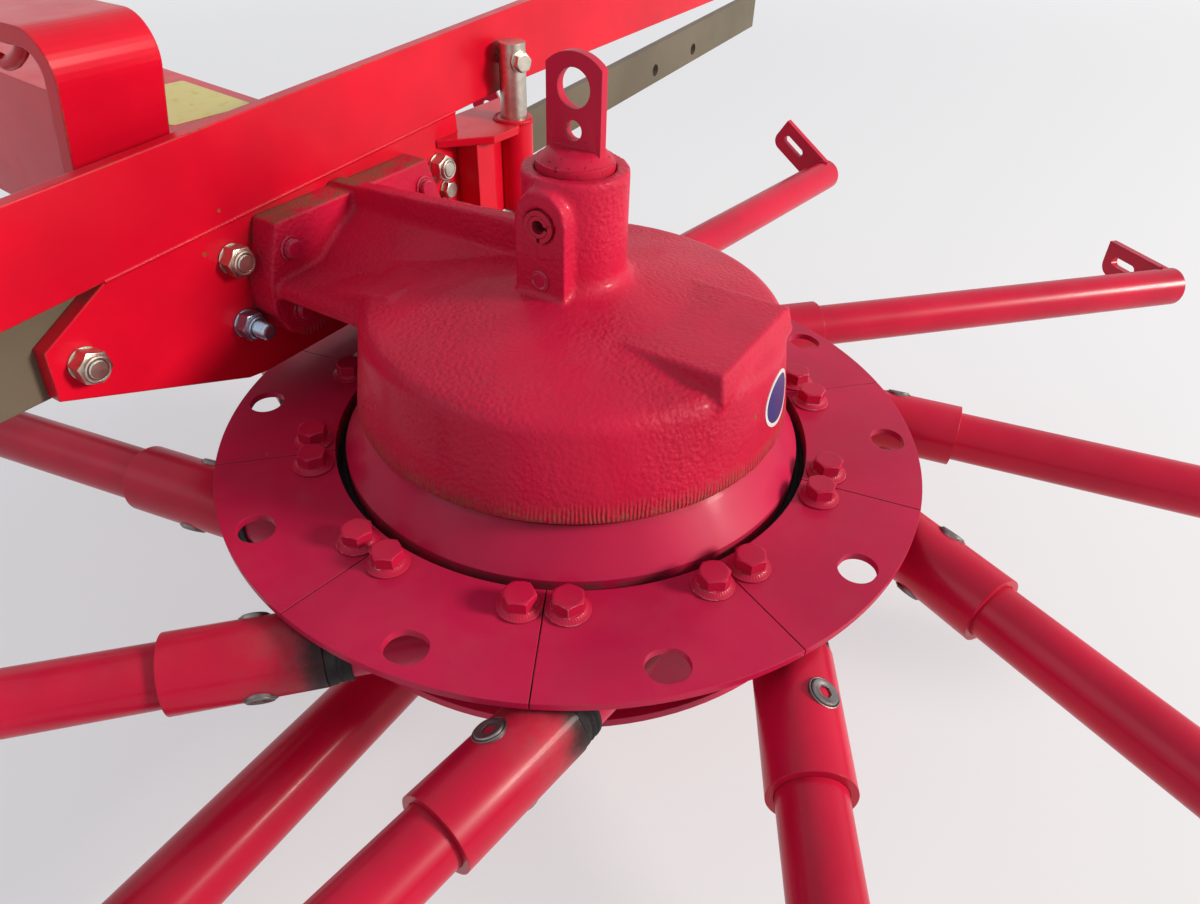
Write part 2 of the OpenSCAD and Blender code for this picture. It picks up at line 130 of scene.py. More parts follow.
class Finish:
    def __init__(self, name):
        self.material = bpy.data.materials.new(name)
        self.material.use_nodes = True
        self.nodes = self.material.node_tree.nodes
        self.links = self.material.node_tree.links
        self.nodes.clear()
        self.place = self.node("ShaderNodeTexCoord").out("Object")

    def node(self, kind, settings=None, inputs=None):
        made = self.nodes.new(kind)
        for key, value in (settings or {}).items():
            if key == "stops":
                ramp = made.color_ramp
                while len(ramp.elements) < len(value):
                    ramp.elements.new(0.5)
                for element, (position, colour) in zip(ramp.elements, value):
                    element.position = position
                    element.color = (*colour, 1)
            else:
                setattr(made, key, value)
        for key, value in (inputs or {}).items():
            if isinstance(value, Wire):
                self.links.new(value.socket, made.inputs[key])
            elif isinstance(value, tuple) and made.inputs[key].type == "RGBA":
                made.inputs[key].default_value = (*value, 1)
            else:
                made.inputs[key].default_value = value
        return Wire(self, made.outputs[0]) if made.outputs else None

    def mix(self, share, first, second):
        made = self.node("ShaderNodeMix", {"data_type": "RGBA"}, {0: share, 6: first, 7: second})
        return Wire(self, made.socket.node.outputs[2])

    def noise(self, scale, detail, rough, shift=0):
        where = self.place
        if shift:
            where = self.node("ShaderNodeMapping", None, {"Vector": where, "Location": (shift, shift, shift)})
        return self.node("ShaderNodeTexNoise", None, {
            "Vector": where, "Scale": scale, "Detail": detail, "Roughness": rough,
        })

    def bump(self, height, strength, distance, under=None):
        inputs = {"Height": height, "Strength": strength, "Distance": distance}
        if under:
            inputs["Normal"] = under
        return self.node("ShaderNodeBump", None, inputs)

    def part(self, vector, axis):
        return self.node("ShaderNodeSeparateXYZ", None, {"Vector": vector}).out(axis)

    def dot(self, first, second):
        return self.node("ShaderNodeVectorMath", {"operation": "DOT_PRODUCT"}, {0: first, 1: second}).out("Value")

    def normal(self):
        return self.node("ShaderNodeNewGeometry").out("Normal")

    def rounded(self, radius, samples=nodeSamples):
        # the surface's direction as if its edges had this radius
        return self.node("ShaderNodeBevel", {"samples": samples}, {"Radius": radius})

    def hollowShade(self, reach):
        # 0 on an open face, towards 1 in a corner, where grime and painted shade go
        return 1 - self.node("ShaderNodeAmbientOcclusion", {"samples": nodeSamples}, {"Distance": reach}).out("AO")

    def close(self, shader):
        self.node("ShaderNodeOutputMaterial", None, {"Surface": shader})
        return self.material

    def closePrincipled(self, inputs):
        return self.close(self.node("ShaderNodeBsdfPrincipled", None, inputs))


def rustColour(finish):
    return finish.node("ShaderNodeValToRGB", {"stops": [
        (0.3, (0.10, 0.030, 0.012)), (0.55, (0.30, 0.085, 0.020)), (0.8, (0.42, 0.17, 0.06)),
    ]}, {"Fac": finish.noise(180, 4, 0.7)})


paints = {
    "castPaint": {
        "colour": (0.52, 0.006, 0.040), "rough": 0.38, "pebble": 1.0, "chips": 0.4, "edge": 0.0020,
        "dots": 0.955, "wornAndSheen": 0.55, "bare": "rust",
    },
    "ringPaint": {
        "colour": (0.48, 0.007, 0.054), "rough": 0.40, "pebble": 0.12, "chips": 0.6, "edge": 0.0010,
        "dots": 0.975, "wornAndSheen": 0.2, "bare": "rust",
    },
    "tubePaint": {
        "colour": (0.52, 0.004, 0.034), "rough": 0.24, "pebble": 0.05, "chips": 0.5, "edge": 0.0012,
        "dots": 0.985, "wornAndSheen": 0.15, "bare": "rust",
    },
    "framePaint": {
        "colour": (0.62, 0.003, 0.020), "rough": 0.24, "pebble": 0.05, "chips": 1.4, "edge": 0.0024,
        "dots": 0.985, "wornAndSheen": 0.2, "bare": "rust",
    },
    "columnPaint": {
        "colour": (0.50, 0.006, 0.038), "rough": 0.36, "pebble": 0.22, "chips": 1.2, "edge": 0.0012,
        "dots": 0.96, "wornAndSheen": 0.4, "bare": "rust",
    },
    "boltPaint": {
        "colour": (0.47, 0.006, 0.044), "rough": 0.36, "pebble": 0.15, "chips": 1.8, "edge": 0.0008,
        "dots": 0.99, "wornAndSheen": 0.45, "bare": "steel",
    },
    "olivePaint": {
        "colour": (0.135, 0.112, 0.076), "rough": 0.42, "pebble": 0.10, "chips": 0.7, "edge": 0.0010,
        "dots": 0.97, "wornAndSheen": 0, "bare": "rust",
    },
}
# colours of the marks: colour is grime and painted shade in corners, worn is rubbed paint and a painted edge
# highlight, crust is soil and also painted shade under the housing's rim
grimeShadeAndHighlight = {
    "colour": (0.060, 0.048, 0.034), "grease": (0.010, 0.009, 0.010), "smear": (0.17, 0.075, 0.070),
    "dust": (0.40, 0.14, 0.14), "wornAndSheen": (0.66, 0.12, 0.13), "crustAndShade": (0.165, 0.088, 0.044),
    "steel": (0.50, 0.47, 0.48), "dustShare": 0.08,
}
# where each mark on the paint begins and is full, and how strong it is
wear = {
    "fade": (0.86, 1.10), "bend": (0.02, 0.16), "crumb": (0.50, 0.57), "patch": (0.44, 0.56),
    "specks": 42.0, "speckSize": 0.10, "speckShare": 0.8, "level": (0.55, 0.98), "dust": (0.38, 0.80),
    "wornAndSheen": (0.38, 0.62), "reach": 0.018, "hollowShade": (0.35, 0.9), "dirtAndShade": (0.35, 0.6), "dirtAndShadeShare": 0.75,
    "smear": (0.30, 0.62), "smearShare": 0.45, "blackShare": 0.95,
}
grainOf = {"fine": 900, "fineDepth": 0.25, "cells": 260.0, "cellDepth": -0.9, "crumbs": 210, "crumbDepth": 1.2}
gloss = {"specular": 0.18, "coat": 0.09, "coatRough": 0.12, "roughest": 0.95}
# how much each adds to the roughness
roughBy = {"clouds": 0.16, "dust": 0.9, "dirtAndShade": 0.45, "chip": 0.3}
metalLook = {"dull": 0.72, "reach": 0.006, "dirtAndShade": 0.7, "edge": 0.0003}


def shaded(colour, share):
    return tuple(min(1, share * c) for c in colour)


def castGrain(f):
    # the sandy cells of a casting, rougher in patches, and the ridges over its lower rim
    cells = f.node("ShaderNodeTexVoronoi", {"feature": "SMOOTH_F1"}, {
        "Vector": f.place, "Scale": grainOf["cells"], "Smoothness": 0.6,
    })
    sandy = f.noise(8, 2, 0.5, shift=5.3).between(0.40, 0.60) * 0.65 + 0.35
    crumbs = f.noise(grainOf["crumbs"], 4, 0.7) * grainOf["crumbDepth"]
    return (cells.out("Distance") * grainOf["cellDepth"] + crumbs) * sandy + flutes(f)


def paintFinish(name, soilAndShade=None):
    # gloss paint that has faded a little, with dust on top, chipped edges, rubbed edges lightened as worn paint and
    # a painted highlight, and grime with painted shade darkening the corners
    look = paints[name]
    f = Finish(name)
    pale = f.noise(7, 3, 0.55).between(0.3, 0.7)
    colour = f.mix(pale, *(shaded(look["colour"], share) for share in wear["fade"]))
    bevel = f.rounded(look["edge"])
    flat = f.normal()
    edge = (1 - f.dot(bevel, flat)).between(*wear["bend"])
    crumb = f.noise(95, 4, 0.65).between(*wear["crumb"])
    patch = f.noise(16, 2, 0.5, shift=3.1).between(*wear["patch"])
    chip = (edge * crumb * patch * look["chips"]).least(1)
    speck = f.node("ShaderNodeTexVoronoi", {"feature": "F1"}, {"Vector": f.place, "Scale": wear["specks"]})
    keep = f.node("ShaderNodeSeparateColor", None, {"Color": speck.out("Color")})
    dot = (wear["speckSize"] - speck.out("Distance")).between(0.0, 0.02) * (keep > look["dots"])
    chip = chip.most(dot * wear["speckShare"])
    colour = f.mix(chip, colour, rustColour(f) if look["bare"] == "rust" else grimeShadeAndHighlight["steel"])
    clouds = f.noise(24, 5, 0.62, shift=1.7).between(*wear["dust"])
    dust = f.part(flat, "Z").between(*wear["level"]) * clouds * grimeShadeAndHighlight["dustShare"]
    colour = f.mix(dust, colour, grimeShadeAndHighlight["dust"])
    # lightens the edges: rubbed, dusty paint and a painted edge highlight
    if look["wornAndSheen"]:
        rubbedAndSheen = edge * f.noise(38, 4, 0.65, shift=4.4).between(*wear["wornAndSheen"])
        colour = f.mix(rubbedAndSheen * look["wornAndSheen"], colour, grimeShadeAndHighlight["wornAndSheen"])
    # grime and painted shade darken the corners and hollows
    clouds = f.noise(60, 4, 0.7).between(*wear["dirtAndShade"])
    dirtAndShade = f.hollowShade(wear["reach"]).between(*wear["hollowShade"]) * clouds * wear["dirtAndShadeShare"]
    colour = f.mix(dirtAndShade, colour, grimeShadeAndHighlight["colour"])
    # for castPaint the crust brown also paints shade under the housing's rim and on the flange's top under the beam
    if soilAndShade:
        crustAndShade = soilAndShade(f)
        colour = f.mix(crustAndShade, colour, grimeShadeAndHighlight["crustAndShade" if name == "castPaint" else "grease"])
        dirtAndShade = dirtAndShade.most(crustAndShade)
    if name == "tubePaint":
        black, smear = greaseMask(f)
        clouds = f.noise(40, 4, 0.7).between(*wear["smear"])
        colour = f.mix(smear * clouds * wear["smearShare"], colour, grimeShadeAndHighlight["smear"])
        colour = f.mix(black * wear["blackShare"], colour, grimeShadeAndHighlight["grease"])
        dirtAndShade = dirtAndShade.most(black * 0.5).most(smear * 0.35)
    rough = look["rough"] + f.noise(30, 4, 0.6) * roughBy["clouds"] + dust * roughBy["dust"]
    rough = rough + dirtAndShade * roughBy["dirtAndShade"] + chip * roughBy["chip"]
    grain = f.noise(grainOf["fine"], 2, 0.5) * grainOf["fineDepth"]
    if look["pebble"] > 0.3:
        grain = grain + castGrain(f)
    normal = f.bump(grain, 0.25 + 0.6 * min(1, look["pebble"]), 0.0002 + 0.0010 * look["pebble"], bevel)
    normal = f.bump(1 - dot, 0.5, 0.0003, normal)
    return f.closePrincipled({
        "Base Color": colour, "Roughness": rough.least(gloss["roughest"]), "Normal": normal,
        "Coat Weight": ((1 - dirtAndShade) * gloss["coat"]).most(0), "Coat Roughness": gloss["coatRough"],
        "Specular IOR Level": gloss["specular"],
    })


def heightOf(f):
    # millimetres over the top of the ring
    return f.part(f.place, "Z") * 1000 - ringTop


rim = {
    "ridges": 360, "top": (44, 62), "soilAndShade": (36, 66), "soilShare": 0.95, "under": (41, 44), "underShare": 0.75,
    "shelfFrom": 0.244, "shelfHeight": 138, "shelfShare": 0.75, "ridgeDepth": 0.6,
}


def ridgeWave(f):
    # upright ridges round the housing, from -1 to 1
    turn = f.node("ShaderNodeMath", {"operation": "ARCTAN2"}, {0: f.part(f.place, "Y"), 1: f.part(f.place, "X")})
    return f.node("ShaderNodeMath", {"operation": "SINE"}, {0: turn * rim["ridges"] + f.noise(40, 2, 0.5) * 9})


def rimSoilAndShade(f):
    # the brown crust between the ridges over the housing's lower rim; the same brown under the rim and on the
    # flange's top under the beam is crust and painted shade
    height = heightOf(f)
    low = 1 - (height + f.noise(16, 4, 0.65) * -26 + 13).between(*rim["soilAndShade"])
    crumbs = f.noise(300, 4, 0.75).between(0.40, 0.56)
    grooves = (ridgeWave(f) * -0.5 + 0.5) * 0.45 + 0.55
    # the brown painted evenly under the rim stands for its shade
    under = 1 - height.between(*rim["under"])
    behind = (f.part(f.place, "Y") > rim["shelfFrom"]) * (height > rim["shelfHeight"])
    shelf = behind * f.part(f.normal(), "Z").between(0.6, 0.9) * f.noise(34, 4, 0.65).between(0.32, 0.56)
    crustAndShade = low * crumbs * grooves * rim["soilShare"]
    return crustAndShade.most(under * rim["underShare"]).most(shelf * rim["shelfShare"])


def flutes(f):
    # the ridges that the mould left over the lower rim
    low = 1 - (heightOf(f) + f.noise(20, 2, 0.5) * -14 + 7).between(*rim["top"])
    return ridgeWave(f) * low * f.noise(45, 3, 0.6).between(0.30, 0.60) * rim["ridgeDepth"]


greasy = {
    "arms": (1, 2), "sleeveEnd": 231, "across": 60, "level": 45, "ragged": 34, "black": (4, 26), "smear": (10, 74),
}


def greaseMask(f):
    # how black and how smeared the sleeve ends are on the arms whose bearings leak grease
    black, smear = None, None
    ragged = f.noise(26, 5, 0.7) * greasy["ragged"]
    for index in greasy["arms"]:
        root, along, out = armAxes(index)
        away = f.node("ShaderNodeVectorMath", {"operation": "SUBTRACT"}, {0: f.place, 1: tuple(root * 0.001)})
        run, across, level = (f.dot(away, tuple(way)) * 1000 for way in (along, out, up))
        near = (1 - (across.size() > greasy["across"])) * (1 - (level.size() > greasy["level"]))
        here = (run > 0) * near
        past = run - greasy["sleeveEnd"] - ragged + greasy["ragged"] / 2
        one, two = (here * (1 - past.between(*greasy[kind])) for kind in ("black", "smear"))
        black = black.most(one) if black else one
        smear = smear.most(two) if smear else two
    return black, smear


eyeFoot = {
    "top": 255, "within": 0.4, "plateHalf": 4.0, "clear": 0.2, "press": 0.10,
    "pits": (256, 264), "pitClouds": (0.60, 0.66), "pitShare": 0.85,
}


def footPits(f):
    # black pits and dirt round the foot of the eye plate
    low = 1 - heightOf(f).between(*eyeFoot["pits"])
    return f.noise(230, 4, 0.75, shift=0.7).between(*eyeFoot["pitClouds"]) * low * eyeFoot["pitShare"]


def metalFinish(name, colour, rough, rust=0.3):
    f = Finish(name)
    cloud = f.noise(120, 4, 0.6)
    base = f.mix(cloud.between(0.35, 0.7), colour, shaded(colour, metalLook["dull"]))
    spots = f.noise(210, 4, 0.7, shift=2.2).between(0.60, 0.70) * rust
    base = f.mix(spots, base, rustColour(f))
    # grime and painted shade darken the hollows
    dirtAndShade = f.hollowShade(metalLook["reach"]).between(0.4, 0.9) * metalLook["dirtAndShade"]
    base = f.mix(dirtAndShade, base, grimeShadeAndHighlight["colour"])
    return f.closePrincipled({
        "Base Color": base, "Metallic": 1 - (spots + dirtAndShade).least(1),
        "Roughness": (cloud * 0.2 + rough + spots * 0.3 + dirtAndShade * 0.3).least(0.9),
        "Normal": f.bump(f.noise(700, 3, 0.6), 0.2, 0.0003, f.rounded(metalLook["edge"], metalEdgeSamples)),
    })


def rubberFinish(name, colour, rough):
    f = Finish(name)
    smear = f.noise(80, 4, 0.7)
    return f.closePrincipled({
        "Base Color": f.mix(smear.between(0.45, 0.75), colour, (0.030, 0.023, 0.020)),
        "Roughness": smear * 0.3 + rough, "Normal": f.bump(smear, 0.4, 0.0006), "Specular IOR Level": 0.25,
    })


def sheetFinish(name, colour, rough):
    # a printed sheet with nothing on it, a little scuffed
    f = Finish(name)
    scuff = f.noise(70, 5, 0.7).between(0.55, 0.75)
    return f.closePrincipled({
        "Base Color": f.mix(scuff * 0.35, colour, shaded(colour, 0.6)), "Roughness": scuff * 0.3 + rough,
        "Normal": f.bump(f.noise(300, 3, 0.6), 0.15, 0.0003),
    })


finishes = {
    "castPaint": paintFinish("castPaint", rimSoilAndShade),
    "columnPaint": paintFinish("columnPaint", footPits),
    "zinc": metalFinish("zinc", (0.62, 0.58, 0.50), 0.24),
    "blueZinc": metalFinish("blueZinc", (0.42, 0.52, 0.66), 0.26, 0.1),
    "darkSteel": metalFinish("darkSteel", (0.22, 0.20, 0.20), 0.34, 0.2),
    "sealRubber": rubberFinish("sealRubber", (0.010, 0.009, 0.011), 0.55),
    "badgeBlue": sheetFinish("badgeBlue", (0.010, 0.035, 0.16), 0.30),
    "badgePale": sheetFinish("badgePale", (0.62, 0.62, 0.60), 0.35),
    "labelYellow": sheetFinish("labelYellow", (0.66, 0.56, 0.16), 0.42),
}
for name in ("ringPaint", "tubePaint", "framePaint", "boltPaint", "olivePaint"):
    finishes[name] = paintFinish(name)
print("finishes made:", len(finishes))

slotFinish = {
    "cast_paint": "columnPaint", "ring_paint": "ringPaint", "tube_paint": "tubePaint", "frame_paint": "framePaint",
    "olive_paint": "olivePaint", "zinc": "zinc",
}
slotOf = {part["node"]: part["material_slot"] for part in frame["record"]["subparts"]}
for name, node in frame["nodes"].items():
    node.data.materials.clear()
    node.data.materials.append(finishes[slotFinish[slotOf[name]]])


def ringOf(radius, z, steps=48):
    turns = [math.tau * i / steps for i in range(steps)]
    return [Vector((radius * math.cos(turn), radius * math.sin(turn), z)) for turn in turns]


def skin(name, rings, closed=False):
    # joins rings of equal count in millimetres, capped at both ends unless the rings close on themselves
    net = bmesh.new()
    rows = [[net.verts.new(point * 0.001) for point in ring] for ring in rings]
    for first, second in zip(rows, rows[1:] + ([rows[0]] if closed else [])):
        for i in range(len(first)):
            j = (i + 1) % len(first)
            net.faces.new((first[i], first[j], second[j], second[i]))
    if not closed:
        net.faces.new(rows[0][::-1])
        net.faces.new(rows[-1])
    bmesh.ops.remove_doubles(net, verts=net.verts, dist=1e-7)
    bmesh.ops.recalc_face_normals(net, faces=net.faces)
    mesh = bpy.data.meshes.new(name)
    net.to_mesh(mesh)
    net.free()
    return mesh


def lathe(name, profile, steps=48, closed=False):
    return skin(name, [ringOf(r, z, steps) for r, z in profile], closed)


def pieceFrom(name, mesh, finish, body, smooth=35):
    piece = bpy.data.objects.new(name, mesh)
    bpy.context.scene.collection.objects.link(piece)
    mesh.materials.clear()
    mesh.materials.append(finishes[finish])
    if smooth:
        mesh.shade_smooth()
        sharp = math.radians(smooth)
        net = bmesh.new()
        net.from_mesh(mesh)
        for line in net.edges:
            line.smooth = len(line.link_faces) == 2 and line.calc_face_angle(0) < sharp
        net.to_mesh(mesh)
        net.free()
    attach(piece, body)
    return piece


def joined(name, meshes):
    net = bmesh.new()
    for mesh in meshes:
        net.from_mesh(mesh)
    whole = bpy.data.meshes.new(name)
    net.to_mesh(whole)
    net.free()
    return whole


def facing(place, aim):
    # a matrix that stands a shape's z axis along aim at a place in millimetres
    return Matrix.Translation(place * 0.001) @ aim.to_track_quat("Z", "Y").to_matrix().to_4x4()


headForm = {"cone": 30, "topRing": 0.06}


def hexRings(across, low, high, chamfer=0.94, steps=48):
    # a hexagon whose upper edge is cut by a cone, as on a forged head, with a flat top
    rings = [[], [], []]
    for i in range(steps):
        turn = math.tau * i / steps
        local = (turn + math.pi / 6) % (math.pi / 3) - math.pi / 6
        reach = across / 2 / math.cos(local)
        cut = chamfer * across / 2
        way = Vector((math.cos(turn), math.sin(turn), 0))
        rings[0].append(way * reach + up * low)
        rings[1].append(way * reach + up * (high - (reach - cut) * math.tan(math.radians(headForm["cone"]))))
        rings[2].append(way * cut + up * high)
    return rings + [[v - (v - up * high) * headForm["topRing"] for v in rings[2]]]


ringBolt = {
    "across": 22.6, "height": 10.4, "washer": 34, "washerTop": 25.4, "washerHeight": 4.6, "teeth": 40,
    # how far in from the washer's rim, height, and depth of the teeth
    "skirt": ((0.6, 0, 0), (0, 0.5, 0), (0, 1.7, 0), (1.1, 2.2, 0), (1.5, 2.4, 0.5)),
}


def boltMesh(look):
    steps = look["teeth"] * 4
    top = look["washerTop"] / 2
    rise = look["washerHeight"]

    def toothed(radius, z, depth):
        points = ringOf(1, 0, steps)
        return [point * (radius - depth * (i % 4 > 1)) + up * z for i, point in enumerate(points)]
    skirt = [toothed(look["washer"] / 2 - inward, z, depth) for inward, z, depth in look["skirt"]]
    washer = skin("washer", skirt + [toothed(top + 0.6, rise - 0.5, 0.35), toothed(top, rise, 0)])
    return joined("ringBolt", [washer, skin("head", hexRings(look["across"], rise, rise + look["height"]))])


class Growth:
    def __init__(self, name, inputs):
        self.tree = bpy.data.node_groups.new(name, "GeometryNodeTree")
        face = self.tree.interface
        self.keys = {}
        for label, kind in inputs.items():
            self.keys[label] = face.new_socket(name=label, in_out="INPUT", socket_type=kind).identifier
        face.new_socket(name="Geometry", in_out="OUTPUT", socket_type="NodeSocketGeometry")
        self.entry = self.tree.nodes.new("NodeGroupInput")

    def node(self, kind, settings=None, inputs=None, output=0):
        made = self.tree.nodes.new(kind)
        for key, value in (settings or {}).items():
            setattr(made, key, value)
        for key, value in (inputs or {}).items():
            if hasattr(value, "is_output"):
                self.tree.links.new(value, made.inputs[key])
            else:
                made.inputs[key].default_value = value
        return made.outputs[output] if made.outputs else None

    def maths(self, operation, *values):
        return self.node("ShaderNodeMath", {"operation": operation}, dict(enumerate(values)))

    def given(self, label):
        return self.entry.outputs[label]

    def close(self, geometry):
        real = self.node("GeometryNodeRealizeInstances", None, {"Geometry": geometry})
        painted = self.node("GeometryNodeSetMaterial", None, {"Geometry": real, "Material": self.given("Finish")})
        self.node("NodeGroupOutput", None, {0: painted})
        return self


def templateOf(mesh):
    holder = bpy.data.objects.new("template", mesh)
    bpy.context.scene.collection.objects.link(holder)
    return holder


def frozen(host):
    # the plain mesh that an object's modifiers make
    bpy.context.view_layer.update()
    mesh = bpy.data.meshes.new_from_object(host.evaluated_get(bpy.context.evaluated_depsgraph_get()))
    host.modifiers.clear()
    bpy.data.objects.remove(host)
    return mesh


def grown(name, growth, start, values):
    # runs a tree on a start mesh
    host = templateOf(start)
    modifier = host.modifiers.new("growth", "NODES")
    modifier.node_group = growth.tree
    for label, value in values.items():
        modifier[growth.keys[label]] = value
    mesh = frozen(host)
    mesh.name = name
    return mesh


def pairsRoundRing():
    # bolts in pairs, one on each side of every seam
    g = Growth("pairsRoundRing", {
        "Part": "NodeSocketObject", "Seams": "NodeSocketInt", "Radius": "NodeSocketFloat",
        "Half spread": "NodeSocketFloat", "First seam": "NodeSocketFloat", "Height": "NodeSocketFloat",
        "Seed": "NodeSocketInt", "Finish": "NodeSocketMaterial",
    })
    index = g.node("GeometryNodeInputIndex")
    seam = g.maths("FLOOR", g.maths("DIVIDE", index, 2.0))
    side = g.maths("SUBTRACT", g.maths("MULTIPLY", g.maths("MODULO", index, 2.0), 2.0), 1.0)
    pitch = g.maths("DIVIDE", math.tau, g.given("Seams"))
    middle = g.maths("ADD", g.given("First seam"), g.maths("MULTIPLY", seam, pitch))
    turn = g.maths("ADD", middle, g.maths("MULTIPLY", side, g.given("Half spread")))
    at = g.node("ShaderNodeCombineXYZ", None, {
        "X": g.maths("MULTIPLY", g.given("Radius"), g.maths("COSINE", turn)),
        "Y": g.maths("MULTIPLY", g.given("Radius"), g.maths("SINE", turn)), "Z": g.given("Height"),
    })
    count = g.maths("MULTIPLY", g.given("Seams"), 2.0)
    points = g.node("GeometryNodePoints", None, {"Count": count, "Position": at})
    spin = g.node("FunctionNodeRandomValue", {"data_type": "FLOAT"}, {
        2: 0.0, 3: math.tau, "Seed": g.given("Seed"),
    }, 1)
    part = g.node("GeometryNodeObjectInfo", None, {"Object": g.given("Part")}, "Geometry")
    copies = g.node("GeometryNodeInstanceOnPoints", None, {
        "Points": points, "Instance": part, "Rotation": g.node("ShaderNodeCombineXYZ", None, {"Z": spin}),
    })
    return g.close(copies)


def standOnPoints():
    # one part on every point, its axis along the point's aim, turned at random about it
    g = Growth("standOnPoints", {
        "Points": "NodeSocketGeometry", "Part": "NodeSocketObject", "Turn": "NodeSocketFloat",
        "Seed": "NodeSocketInt", "Finish": "NodeSocketMaterial",
    })
    aim = g.node("GeometryNodeInputNamedAttribute", {"data_type": "FLOAT_VECTOR"}, {"Name": "aim"})
    stand = g.node("FunctionNodeAlignRotationToVector", {"axis": "Z"}, {"Vector": aim})
    spin = g.node("FunctionNodeRandomValue", {"data_type": "FLOAT"}, {
        2: 0.0, 3: g.given("Turn"), "Seed": g.given("Seed"),
    }, 1)
    about = g.node("FunctionNodeAxisAngleToRotation", None, {"Axis": (0, 0, 1), "Angle": spin})
    turned = g.node("FunctionNodeRotateRotation", {"rotation_space": "LOCAL"}, {
        "Rotation": stand, "Rotate By": about,
    })
    part = g.node("GeometryNodeObjectInfo", None, {"Object": g.given("Part")}, "Geometry")
    copies = g.node("GeometryNodeInstanceOnPoints", None, {
        "Points": g.given("Points"), "Instance": part, "Rotation": turned,
    })
    return g.close(copies)


def weldAlong():
    # a rippled bead that follows the edges of its start mesh
    g = Growth("weldAlong", {
        "Path": "NodeSocketGeometry", "Bead radius": "NodeSocketFloat", "Ripple length": "NodeSocketFloat",
        "Ripple depth": "NodeSocketFloat", "Finish": "NodeSocketMaterial",
    })
    curve = g.node("GeometryNodeMeshToCurve", None, {"Mesh": g.given("Path")})
    step = g.maths("DIVIDE", g.given("Ripple length"), 4.0)
    fine = g.node("GeometryNodeResampleCurve", {"mode": "LENGTH"}, {"Curve": curve, "Length": step})
    run = g.node("GeometryNodeSplineParameter", None, None, "Length")
    wave = g.maths("SINE", g.maths("MULTIPLY", g.maths("DIVIDE", run, g.given("Ripple length")), math.tau))
    grain = g.node("ShaderNodeTexNoise", None, {"Scale": 160.0}, 0)
    uneven = g.maths("ADD", wave, g.maths("SUBTRACT", grain, 0.5))
    swell = g.maths("ADD", 1.0, g.maths("MULTIPLY", g.given("Ripple depth"), uneven))
    profile = g.node("GeometryNodeCurvePrimitiveCircle", None, {"Resolution": 10, "Radius": g.given("Bead radius")})
    bead = g.node("GeometryNodeCurveToMesh", None, {
        "Curve": fine, "Profile Curve": profile, "Fill Caps": True, "Scale": swell,
    })
    return g.close(bead)


trees = {"pairs": pairsRoundRing(), "points": standOnPoints(), "weld": weldAlong()}


def pointMesh(places):
    mesh = bpy.data.meshes.new("points")
    mesh.from_pydata([place * 0.001 for place, aim in places], [], [])
    aims = mesh.attributes.new("aim", "FLOAT_VECTOR", "POINT")
    for i, (place, aim) in enumerate(places):
        aims.data[i].vector = aim
    return mesh


def standing(name, part, places, finish, body="frame", seed=3):
    # copies of a part, each at a place and along an aim, turned at random
    holder = templateOf(part)
    mesh = grown(name, trees["points"], pointMesh(places), {
        "Part": holder, "Turn": math.tau, "Seed": seed, "Finish": finishes[finish],
    })
    bpy.data.objects.remove(holder)
    return pieceFrom(name, mesh, finish, body)


def pathMesh(path):
    mesh = bpy.data.meshes.new("path")
    mesh.from_pydata([point * 0.001 for point in path], [(i, i + 1) for i in range(len(path) - 1)], [])
    return mesh


def welded(name, path, radius, finish, body="frame", ripple=3.4, depth=0.12):
    mesh = grown(name, trees["weld"], pathMesh(path), {
        "Bead radius": radius * 0.001, "Ripple length": ripple * 0.001, "Ripple depth": depth,
        "Finish": finishes[finish],
    })
    return pieceFrom(name, mesh, finish, body, 60)


boltRing = {"radius": 233.5, "halfSpread": 4.33, "seed": 5}
firstSeam = armTurn(0) + math.asin(armLayout["offset"] / armLayout["ringRadius"])
holder = templateOf(boltMesh(ringBolt))
boltsRound = grown("ringBolts", trees["pairs"], bpy.data.meshes.new("start"), {
    "Part": holder, "Seams": armLayout["count"], "Radius": boltRing["radius"] * 0.001,
    "Half spread": math.radians(boltRing["halfSpread"]), "First seam": firstSeam, "Height": ringTop * 0.001,
    "Seed": boltRing["seed"], "Finish": finishes["boltPaint"],
})
bpy.data.objects.remove(holder)
pieceFrom("ringBolts", boltsRound, "boltPaint", "rotor")

# radius, and height over the ring's top
# a black rubber ring low in the groove between ring and housing, whose black paints the shade of the gap
moatSeal = ((206.6, -19), (214.6, -19), (214.6, -14), (212.6, -13), (210.6, -16), (207.6, -14), (206.6, -15))
seal = lathe("moatSeal", [(radius, ringTop + z) for radius, z in moatSeal], 128, True)
pieceFrom("moatSeal", seal, "sealRubber", "rotor")
print("ring dressed")


sleeveScrew = {
    "at": 280, "sleeve": 30.15, "head": 21, "rise": 1.8, "socket": 8.8, "socketDepth": 4, "recess": 13.2,
    "turns": (-45, -60, -27, 24, 39, 30, 22, 4, -18, -36),
}
# radius, and distance along the arm's axis
shaftSeal = (
    (26.5, 214), (28.4, 214.4), (28.8, 217), (27.6, 219.4), (28.9, 221.6), (27.7, 224),
    (29.2, 226.4), (29.6, 231.4), (19.4, 231.4), (19.4, 225.2), (26.5, 225),
)


